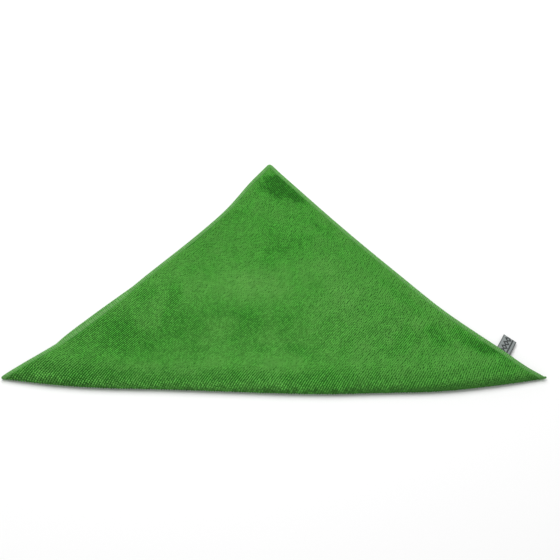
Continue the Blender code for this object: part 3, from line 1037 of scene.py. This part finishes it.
def edge_place(side, along, inward):
    """The flat place at a distance along one side of the square and in from it, fanned at the corners."""
    corner, way, into = EDGES[side]
    start = inward + (CORNER_FAN - inward) * along / CORNER_FAN
    end = inward + (CORNER_FAN - inward) * (SIDE - along) / CORNER_FAN
    fanned = np.where(along < CORNER_FAN, start, np.where(along > SIDE - CORNER_FAN, SIDE - end, along))
    return (
        corner[0] + way[0] * fanned + into[0] * inward,
        corner[1] + way[1] * fanned + into[1] * inward,
    )


def thread_path():
    """A stitch's middle line round the edge: in from the cut, height over the middle, share of its width."""
    over = HEM_THICK / 2 - THREAD_THICK / 2
    reach = over + THREAD_THICK / 2
    arc = [
        (reach - over * math.cos(a), over * math.sin(a), 1.0)
        for a in (math.pi / 2 - math.pi * n / (ARC_STEPS - 1) for n in range(ARC_STEPS))
    ]
    straight = [(HEM_WIDTH, over - SEAM_DIP, SEAM_NARROW), ((HEM_WIDTH + reach) / 2, over, 1.0)]
    back = [(inward, -height, share) for inward, height, share in reversed(straight)]
    end = (HEM_WIDTH + THREAD_RISE, over - THREAD_RISE)
    return end, straight + arc + back


def lay_threads(side, rings, ends):
    """Where one side's threads lie. rings are the distances along and in from the cut, and the heights over
    the hem's middle, of the rings of all its threads, and ends are the same of their two ends."""
    count = len(rings[0])
    measures = []
    for ring, end in zip(rings, ends):
        ring = np.broadcast_to(ring, rings[0].shape).reshape(count, -1)
        measures.append(np.concatenate([ring, np.broadcast_to(end, (count, len(TWO_ENDS)))], axis=1))
    along, inward, height = measures
    u, v = edge_place(side, along, inward)
    return lay(u.ravel(), v.ravel(), HEM_THICK / 2 - height.ravel())


def make_threads(name, places, tones, rings, sides, material):
    """One mesh of threads of the same form, each with its own tone."""
    points = rings * sides + len(TWO_ENDS)
    tones = np.concatenate(tones)
    triangles = copies(spindle(rings, sides, True), points, len(tones))
    facts = {"tone": np.repeat(tones, points)}
    return make_piece(name, np.concatenate(places), triangles, material, facts=facts)


def stitches_along(settings, unevenness):
    """Evenly spaced distances along a side, one for each stitch, moved by unevenness in stitches."""
    count = len(unevenness)
    return (np.arange(count) + 0.5) * SIDE / count + unevenness * settings.stitch


def make_needle_row(settings, material):
    """The needle's row of short stitches, which lies on the threads along the hem's inner side."""
    draw = np.random.default_rng(settings.seed + NEEDLE_SEED)
    turn = 2 * math.pi * np.arange(NEEDLE_SIDES) / NEEDLE_SIDES
    count = round(SIDE / settings.stitch)
    places = []
    for side in range(len(EDGES)):
        at = stitches_along(settings, draw.uniform(*NEEDLE_AT, count))
        long = NEEDLE_LONG * draw.uniform(*NEEDLE_LENGTHS, count)
        along = (at[:, None] + long[:, None] * np.array(NEEDLE_RINGS))[:, :, None] + 0 * turn
        inward = NEEDLE_IN - NEEDLE_WIDE / 2 * np.cos(turn)
        height = HEM_THICK / 2 + NEEDLE_WIDE / 2 * np.sin(turn)
        ends = (at[:, None] + long[:, None] * TWO_ENDS, NEEDLE_IN, HEM_THICK / 2)
        places.append(lay_threads(side, (along, inward, height), ends))
    tones = [draw.uniform(*NEEDLE_TONES, count * len(EDGES))]
    return make_threads("hem_needle_row", places, tones, len(NEEDLE_RINGS), NEEDLE_SIDES, material)


def make_stitches(settings, material):
    """The overlock stitches round all four sides."""
    draw = np.random.default_rng(settings.seed + STITCH_SEED)
    (end_in, end_up), path = thread_path()
    middle = np.array([(inward, height) for inward, height, _ in path])
    width = np.array([share for _, _, share in path])
    ways = np.gradient(middle, axis=0)
    ways /= np.linalg.norm(ways, axis=1)[:, None]
    needle_side = middle[:, 0] > NEEDLE_SIDE
    progress = np.linspace(-0.5, 0.5, len(path))
    turn = 2 * math.pi * np.arange(THREAD_SIDES) / THREAD_SIDES
    thin = THREAD_THICK / 2 * np.sin(turn)
    count = round(SIDE / settings.stitch)
    places, tones = [], []
    for side in range(len(EDGES)):
        at = stitches_along(settings, draw.uniform(*STITCH_AT, count))
        slant = settings.stitch * (STITCH_SLANT + draw.uniform(*STITCH_SLANTS, count))
        girth = draw.uniform(*STITCH_GIRTHS, count)
        longer = draw.uniform(*STITCH_REACHES, count)
        wide = THREAD_WIDE / 2 * width[None, :, None] * girth[:, None, None] * np.cos(turn)
        along = (at[:, None] + slant[:, None] * progress)[:, :, None] + wide
        # a ring's thin axis is square to the path, so that its faces point outwards all along it
        inward = middle[:, 0, None] + thin * ways[:, 1, None] + (longer[:, None] * needle_side)[:, :, None]
        height = middle[:, 1, None] - thin * ways[:, 0, None]
        ends = (at[:, None] + slant[:, None] * TWO_ENDS, end_in, np.array((-end_up, end_up)))
        places.append(lay_threads(side, (along, inward, height), ends))
        tones.append(draw.uniform(*STITCH_TONES, count))
        if side == DARKER_SIDE:
            tones[-1] *= DARKEST + (1 - DARKEST) * smooth(at / DARKENING_LENGTH)
    return make_threads("hem_stitches", places, tones, len(path), THREAD_SIDES, material)


def label_section():
    """The ribbon's section from its upper end round its outer fold and back: (distance out, height) of its
    outer face, then of its inner face."""
    thick = 2 * RIBBON_THICK + RIBBON_GAP
    outer, inner = thick / 2, RIBBON_GAP / 2
    bend = LABEL_OUT - outer
    straight = np.linspace(-LABEL_IN, bend, LABEL_STEPS)
    turn = np.linspace(0.0, math.pi, BEND_STEPS)[1:-1]

    def face(radius):
        at = np.concatenate([straight, bend + radius * np.sin(turn), straight[::-1]])
        straight_up = np.full(LABEL_STEPS, radius)
        height = np.concatenate([straight_up, radius * np.cos(turn), -straight_up])
        return at, height - outer - LABEL_DROOP * smooth(at / LABEL_OUT)

    return face(outer), face(inner)


def make_label(settings):
    """The folded ribbon, seated under the upper layer's hem where its solid lies."""
    share = np.linspace(-0.5, 0.5, LABEL_COLUMNS)
    seat_u, seat_v = draw_in(np.array(SIDE), np.array(LABEL_PLACE))
    edge_across, edge_out = to_fold(seat_u, seat_v + share * LABEL_WIDTH)
    seams = fold(edge_across, edge_out, np.full(LABEL_COLUMNS, PILE_THICK))[:, 2]
    seam = seams[0] + (seams[-1] - seams[0]) * (share + 0.5)
    faces = []
    for at, height in label_section():
        lean = LABEL_LEAN * at / LABEL_OUT
        across, out = to_fold(
            seat_u + at[:, None] + 0 * share, seat_v + share * LABEL_WIDTH + lean[:, None]
        )
        places = fold(across, out, np.full(across.shape, PILE_THICK))
        places[..., 2] = seam - SEAM_CLEARANCE + height[:, None]
        faces.append(places + FRAME_SHIFT)
    rows = len(faces[0])
    places = np.concatenate([face.reshape(-1, 3) for face in faces])
    index = np.arange(rows * LABEL_COLUMNS).reshape(rows, LABEL_COLUMNS)
    inner_index = index + index.size

    def quads(a, b, c, d):
        return np.stack((a, b, c, a, c, d), axis=-1).reshape(-1, 3)

    a, b, c, d = cell_corners(inner_index)
    faces_of_label = [
        quads(*cell_corners(index)),
        quads(a, d, c, b),
        quads(index[:-1, 0], inner_index[:-1, 0], inner_index[1:, 0], index[1:, 0]),
        quads(index[1:, -1], inner_index[1:, -1], inner_index[:-1, -1], index[:-1, -1]),
        quads(index[0, 1:], inner_index[0, 1:], inner_index[0, :-1], index[0, :-1]),
        quads(index[-1, :-1], inner_index[-1, :-1], inner_index[-1, 1:], index[-1, 1:]),
    ]
    triangles = np.concatenate(faces_of_label)
    steps = np.linalg.norm(np.diff(faces[0][:, LABEL_COLUMNS // 2], axis=0), axis=1)
    run = np.append(0.0, np.cumsum(steps))
    width_map, run_map = np.meshgrid(share * LABEL_WIDTH, run, indexing="xy")
    real = np.tile(np.stack((width_map, run_map), axis=-1).reshape(-1, 2), (2, 1))
    maps = {"weave": real[triangles.ravel()]}
    material = woven_polyester_ribbon(settings)
    return make_piece("woven_label", places, triangles, material, maps), run[-1]


SELVEDGE = (0.0012, 0.0005)  # the darker threads begin and are full this far in from the ribbon's sides
BRAID_MIDDLE = 0.0012  # of the row of lozenges, from the ribbon's middle line
BRAID_PITCH = 0.0026
BRAID_HALF = 0.0036
BRAID_OUTLINE = 0.8  # where the outline of a lozenge lies, and how far to each side, as shares of its size
BRAID_BAND = 0.36
BRAID_LINE = -0.0038  # the plain line beside it, and half its width
BRAID_LINE_HALF = 0.0008
# The braid is 1 on the outline of its lozenges and on the line, and 0 elsewhere. Each step is a Math node:
# its name, its operation and its two values, which are earlier steps, numbers, or places aside and along
# the ribbon
BRAID_STEPS = (
    ("beside", "SUBTRACT", "aside", BRAID_MIDDLE),
    ("away", "ABSOLUTE", "beside", 0.0),
    ("across share", "DIVIDE", "away", BRAID_HALF),
    ("step", "PINGPONG", "along", BRAID_PITCH),
    ("along share", "DIVIDE", "step", BRAID_PITCH),
    ("total", "ADD", "across share", "along share"),
    ("from outline", "SUBTRACT", "total", BRAID_OUTLINE),
    ("near outline", "ABSOLUTE", "from outline", 0.0),
    ("outline", "LESS_THAN", "near outline", BRAID_BAND),
    ("from line", "SUBTRACT", "aside", BRAID_LINE),
    ("near line", "ABSOLUTE", "from line", 0.0),
    ("line", "LESS_THAN", "near line", BRAID_LINE_HALF),
    ("braid", "MAXIMUM", "outline", "line"),
)


def woven_polyester_ribbon(settings):
    """Damask-woven polyester ribbon: flat and smooth, with fine weft ribs, dark edges and a small braid."""
    material = new_material("woven polyester ribbon")
    real = add_node(material, "UVMap", {}, uv_map="weave")
    aside = add_node(material, "SeparateXYZ", {"Vector": real}, "X")
    values = {"aside": aside, "along": aside.node.outputs["Y"]}
    for name, operation, *sources in BRAID_STEPS:
        inputs = {socket: values.get(source, source) for socket, source in enumerate(sources)}
        values[name] = add_node(material, "Math", inputs, operation=operation)
    away = add_node(material, "Math", {0: aside}, operation="ABSOLUTE")
    begins, full = (LABEL_WIDTH / 2 - inward for inward in SELVEDGE)
    selvedge = add_node(material, "MapRange", {"Value": away, "From Min": begins, "From Max": full})
    ribbon, border, braid = opaque(settings.ribbon), opaque(settings.border), opaque(settings.braid)
    colour = add_node(material, "Mix", {MIX_FACTOR: selvedge, MIX_A: ribbon, MIX_B: border}, **MIX_COLOURS)
    braided = {MIX_FACTOR: values["braid"], MIX_A: colour, MIX_B: braid}
    wave = {"Vector": real, "Scale": BLENDER_WAVE / settings.thread}
    weft = add_node(material, "TexWave", wave, "Fac", bands_direction="Y")
    finish = {
        "Base Color": add_node(material, "Mix", braided, **MIX_COLOURS),
        "Roughness": 0.55,
        "Normal": add_node(material, "Bump", {"Height": weft, "Strength": 0.5, "Distance": 0.0001}),
        "Specular IOR Level": 0.4,
        "Sheen Weight": 0.1,
    }
    set_shader(material, finish)
    return material


# --- operators ------------------------------------------------------------------------------------


class CLOTH_OT_ground(bpy.types.Operator):
    """Knit the ground that the pile stands on"""

    bl_idname = "folded_cloth.ground"
    bl_label = "Knitted ground"

    def execute(self, context):
        ground = make_ground(context.scene.cloth_settings)
        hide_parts("cloth")
        return {"FINISHED"}


class CLOTH_OT_pile(bpy.types.Operator):
    """Raise the looped pile on the outer side, in locks along its ribs"""

    bl_idname = "folded_cloth.pile"
    bl_label = "Looped pile"

    def execute(self, context):
        settings = context.scene.cloth_settings
        layers = (
            (("left", "middle", "right"), settings.lock, settings.seed + UPPER_SEED, False),
            (("under_left", "under_right"), settings.under_lock, settings.seed + UNDER_SEED, True),
        )
        for names, lock, seed, pressed in layers:
            places, ways = lock_places(settings.rib, lock, seed)
            across, out = to_fold(*places)
            layer = np.flatnonzero((out <= UNDER_FROM) == pressed)
            layer = layer[np.argsort(across[layer], kind="stable")]
            for name, band in zip(names, np.array_split(layer, len(names))):
                make_locks(f"pile_{name}", places[:, band], ways[:, band], lock, settings, seed, pressed)
        return {"FINISHED"}


class CLOTH_OT_hem(bpy.types.Operator):
    """Overlock the four sides"""

    bl_idname = "folded_cloth.hem"
    bl_label = "Overlocked hem"

    def execute(self, context):
        settings = context.scene.cloth_settings
        thread = textured_polyester_thread(settings)
        make_stitches(settings, thread)
        make_needle_row(settings, thread)
        return {"FINISHED"}


class CLOTH_OT_label(bpy.types.Operator):
    """Sew in the folded woven label"""

    bl_idname = "folded_cloth.label"
    bl_label = "Woven label"

    def execute(self, context):
        label, length = make_label(context.scene.label_settings)
        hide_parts("label")
        return {"FINISHED"}


class CLOTH_OT_declare(bpy.types.Operator):
    """Changes nothing: the ground, its pile and its hem stay separate pieces"""

    bl_idname = "folded_cloth.declare"
    bl_label = "Declare the sheet"

    def execute(self, context):
        return {"FINISHED"}


class CLOTH_OT_stage(bpy.types.Operator):
    """Set the pale floor, the soft light and the camera"""

    bl_idname = "folded_cloth.stage"
    bl_label = "Stage"

    def execute(self, context):
        settings = context.scene.stage_settings
        make_floor(settings)
        make_lights(settings)
        make_camera(settings)
        context.scene.view_settings.view_transform = "Standard"
        return {"FINISHED"}


# --- the stage ------------------------------------------------------------------------------------

FLOOR_SIZE = 6.0
FLOOR_DROP = 0.0002  # the floor lies this far below the cloth, so that they don't share a plane
AIM = Vector((0.00615, -0.00732, 0.0))  # the camera looks here
SENSOR_WIDTH = 36.0
KEY_SIZE, KEY_PLACE = 1.7, Vector((-0.15, 0.65, 1.7))
FILL_SIZE, FILL_PLACE = 1.2, Vector((0.3, -1.7, 1.1))
SKY_WHITE = (1.0, 1.0, 1.0, 1.0)


def make_floor(settings):
    """A matt white board: pale and even, with no gloss, so that it shows only the cloth's soft shadow."""
    bpy.ops.mesh.primitive_plane_add(size=FLOOR_SIZE, location=(0, 0, -FLOOR_DROP))
    floor = bpy.context.object
    floor.name = "floor"
    material = new_material("matt white board")
    finish = {"Base Color": opaque(settings.floor), "Roughness": 0.9, "Specular IOR Level": 0.1}
    set_shader(material, finish)
    floor.data.materials.append(material)


def add_area_light(name, size, power, place):
    """A round light that aims at the middle of the cloth."""
    data = bpy.data.lights.new(name, "AREA")
    data.shape = "DISK"
    data.size = size
    data.energy = power
    lamp = bpy.data.objects.new(name, data)
    lamp.location = place
    lamp.rotation_euler = (-place).to_track_quat("-Z", "Y").to_euler()
    bpy.context.scene.collection.objects.link(lamp)


def make_lights(settings):
    add_area_light("key", KEY_SIZE, settings.key, KEY_PLACE)
    add_area_light("fill", FILL_SIZE, settings.fill, FILL_PLACE)
    world = bpy.data.worlds.new("pale sky")
    world.use_nodes = True
    background = world.node_tree.nodes["Background"]
    background.inputs["Color"].default_value = SKY_WHITE
    background.inputs["Strength"].default_value = settings.sky
    bpy.context.scene.world = world


def make_camera(settings):
    data = bpy.data.cameras.new("camera")
    data.lens = settings.lens
    data.sensor_width = SENSOR_WIDTH
    camera = bpy.data.objects.new("camera", data)
    back = Vector((0.0, -math.cos(settings.elevation), math.sin(settings.elevation)))
    camera.location = AIM + back * settings.distance
    camera.rotation_euler = (-back).to_track_quat("-Z", "Y").to_euler()
    bpy.context.scene.collection.objects.link(camera)
    bpy.context.scene.camera = camera


# --- the panel ------------------------------------------------------------------------------------

STEPS = ("ground", "pile", "hem", "label", "declare", "stage")


class CLOTH_PT_panel(bpy.types.Panel):
    """The steps that finish the cloth, in order"""

    bl_idname = "CLOTH_PT_panel"
    bl_label = "Folded cloth"
    bl_space_type = "VIEW_3D"
    bl_region_type = "UI"
    bl_category = "Cloth"

    def draw(self, context):
        scene = context.scene
        for group in (scene.cloth_settings, scene.label_settings, scene.stage_settings):
            box = self.layout.box()
            for setting in group.__annotations__:
                box.prop(group, setting)
        for step in STEPS:
            self.layout.operator(f"folded_cloth.{step}")


CLASSES = (
    ClothSettings,
    LabelSettings,
    StageSettings,
    CLOTH_OT_ground,
    CLOTH_OT_pile,
    CLOTH_OT_hem,
    CLOTH_OT_label,
    CLOTH_OT_declare,
    CLOTH_OT_stage,
    CLOTH_PT_panel,
)


def register():
    for one in CLASSES:
        bpy.utils.register_class(one)
    bpy.types.Scene.cloth_settings = PointerProperty(type=ClothSettings)
    bpy.types.Scene.label_settings = PointerProperty(type=LabelSettings)
    bpy.types.Scene.stage_settings = PointerProperty(type=StageSettings)


def unregister():
    del bpy.types.Scene.stage_settings
    del bpy.types.Scene.label_settings
    del bpy.types.Scene.cloth_settings
    for one in reversed(CLASSES):
        bpy.utils.unregister_class(one)


def main():
    register()
    for step in STEPS:
        getattr(bpy.ops.folded_cloth, step)()


if __name__ == "__main__":
    main()
